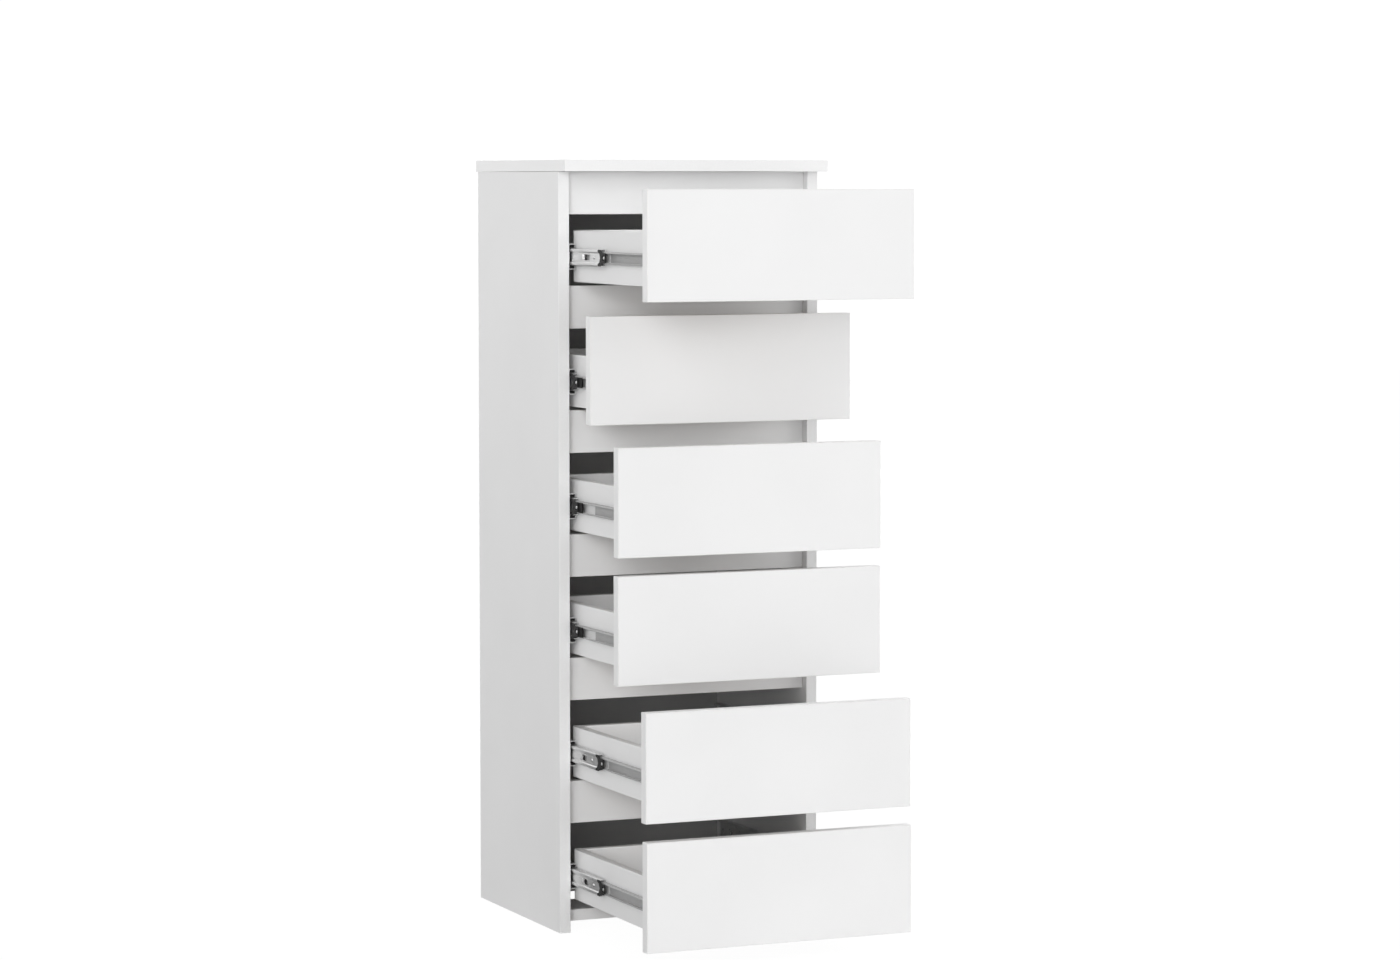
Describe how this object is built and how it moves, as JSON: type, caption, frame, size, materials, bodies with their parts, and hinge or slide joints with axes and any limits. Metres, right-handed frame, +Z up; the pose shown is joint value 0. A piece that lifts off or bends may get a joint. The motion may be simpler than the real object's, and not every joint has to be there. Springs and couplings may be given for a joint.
{
  "type": "tall chest of drawers",
  "caption": "Tall narrow white chest of overlay-front drawers without handles, on telescopic side runners, with finger gaps above the fronts.",
  "frame": {"origin": "on the floor, under the centre of the box round the whole model with its drawers open as stored", "axes": "+Z up; the drawer fronts face -Y and the drawers open along -Y; +X to the right of somebody who faces the fronts"},
  "size_m": [0.404, 0.632, 1.09],
  "materials": {
    "white_board": "white melamine-faced chipboard, satin, with matching edging",
    "white_hardboard": "thin hardboard with a white painted face",
    "zinc_steel": "rolled, bright zinc plated"
  },
  "bodies": {
    "carcass": {"left_side": "white_board", "right_side": "white_board", "top_panel": "white_board", "back_panel": "white_hardboard", "top_front_rail": "white_board", "divider_rail_1": "white_board", "divider_rail_2": "white_board", "divider_rail_3": "white_board", "divider_rail_4": "white_board", "divider_rail_5": "white_board", "bottom_front_rail": "white_board", "bottom_rear_rail": "white_board"},
    "drawer_1": {"drawer_1_front": "white_board", "drawer_1_left_side": "white_board", "drawer_1_right_side": "white_board", "drawer_1_back": "white_board", "drawer_1_bottom": "white_hardboard"},
    "runner_middle_1": {"runner_1_left_middle": "zinc_steel", "runner_1_right_middle": "zinc_steel"},
    "drawer_2": {"drawer_2_front": "white_board", "drawer_2_left_side": "white_board", "drawer_2_right_side": "white_board", "drawer_2_back": "white_board", "drawer_2_bottom": "white_hardboard"},
    "runner_middle_2": {"runner_2_left_middle": "zinc_steel", "runner_2_right_middle": "zinc_steel"},
    "drawer_3": {"drawer_3_front": "white_board", "drawer_3_left_side": "white_board", "drawer_3_right_side": "white_board", "drawer_3_back": "white_board", "drawer_3_bottom": "white_hardboard"},
    "runner_middle_3": {"runner_3_left_middle": "zinc_steel", "runner_3_right_middle": "zinc_steel"},
    "drawer_4": {"drawer_4_front": "white_board", "drawer_4_left_side": "white_board", "drawer_4_right_side": "white_board", "drawer_4_back": "white_board", "drawer_4_bottom": "white_hardboard"},
    "runner_middle_4": {"runner_4_left_middle": "zinc_steel", "runner_4_right_middle": "zinc_steel"},
    "drawer_5": {"drawer_5_front": "white_board", "drawer_5_left_side": "white_board", "drawer_5_right_side": "white_board", "drawer_5_back": "white_board", "drawer_5_bottom": "white_hardboard"},
    "runner_middle_5": {"runner_5_left_middle": "zinc_steel", "runner_5_right_middle": "zinc_steel"},
    "drawer_6": {"drawer_6_front": "white_board", "drawer_6_left_side": "white_board", "drawer_6_right_side": "white_board", "drawer_6_back": "white_board", "drawer_6_bottom": "white_hardboard"},
    "runner_middle_6": {"runner_6_left_middle": "zinc_steel", "runner_6_right_middle": "zinc_steel"}
  },
  "joints": [
    {"name": "drawer_1_slide", "type": "slide", "parent": "carcass", "child": "drawer_1", "axis": [0, -1, 0], "range_m": [-0.294, 0.006]},
    {"name": "runner_1_slide", "type": "slide", "parent": "carcass", "child": "runner_middle_1", "axis": [0, -1, 0], "range_m": [-0.1502, 0.0033]},
    {"name": "drawer_2_slide", "type": "slide", "parent": "carcass", "child": "drawer_2", "axis": [0, -1, 0], "range_m": [-0.094, 0.206]},
    {"name": "runner_2_slide", "type": "slide", "parent": "carcass", "child": "runner_middle_2", "axis": [0, -1, 0], "range_m": [-0.0482, 0.1054]},
    {"name": "drawer_3_slide", "type": "slide", "parent": "carcass", "child": "drawer_3", "axis": [0, -1, 0], "range_m": [-0.193, 0.107]},
    {"name": "runner_3_slide", "type": "slide", "parent": "carcass", "child": "runner_middle_3", "axis": [0, -1, 0], "range_m": [-0.0482, 0.0268]},
    {"name": "drawer_4_slide", "type": "slide", "parent": "carcass", "child": "drawer_4", "axis": [0, -1, 0], "range_m": [-0.192, 0.108]},
    {"name": "runner_4_slide", "type": "slide", "parent": "carcass", "child": "runner_middle_4", "axis": [0, -1, 0], "range_m": [-0.0482, 0.0272]},
    {"name": "drawer_5_slide", "type": "slide", "parent": "carcass", "child": "drawer_5", "axis": [0, -1, 0], "range_m": [-0.288, 0.012]},
    {"name": "runner_5_slide", "type": "slide", "parent": "carcass", "child": "runner_middle_5", "axis": [0, -1, 0], "range_m": [-0.1392, 0.006]},
    {"name": "drawer_6_slide", "type": "slide", "parent": "carcass", "child": "drawer_6", "axis": [0, -1, 0], "range_m": [-0.292, 0.008]},
    {"name": "runner_6_slide", "type": "slide", "parent": "carcass", "child": "runner_middle_6", "axis": [0, -1, 0], "range_m": [-0.1442, 0.0041]}
  ],
  "couplings": [
    {"joint": "runner_1_slide", "follows": "drawer_1_slide", "ratio": 0.5102},
    {"joint": "runner_2_slide", "follows": "drawer_2_slide", "ratio": 0.51064},
    {"joint": "runner_3_slide", "follows": "drawer_3_slide", "ratio": 0.2487},
    {"joint": "runner_4_slide", "follows": "drawer_4_slide", "ratio": 0.25},
    {"joint": "runner_5_slide", "follows": "drawer_5_slide", "ratio": 0.48264},
    {"joint": "runner_6_slide", "follows": "drawer_6_slide", "ratio": 0.49315}
  ]
}
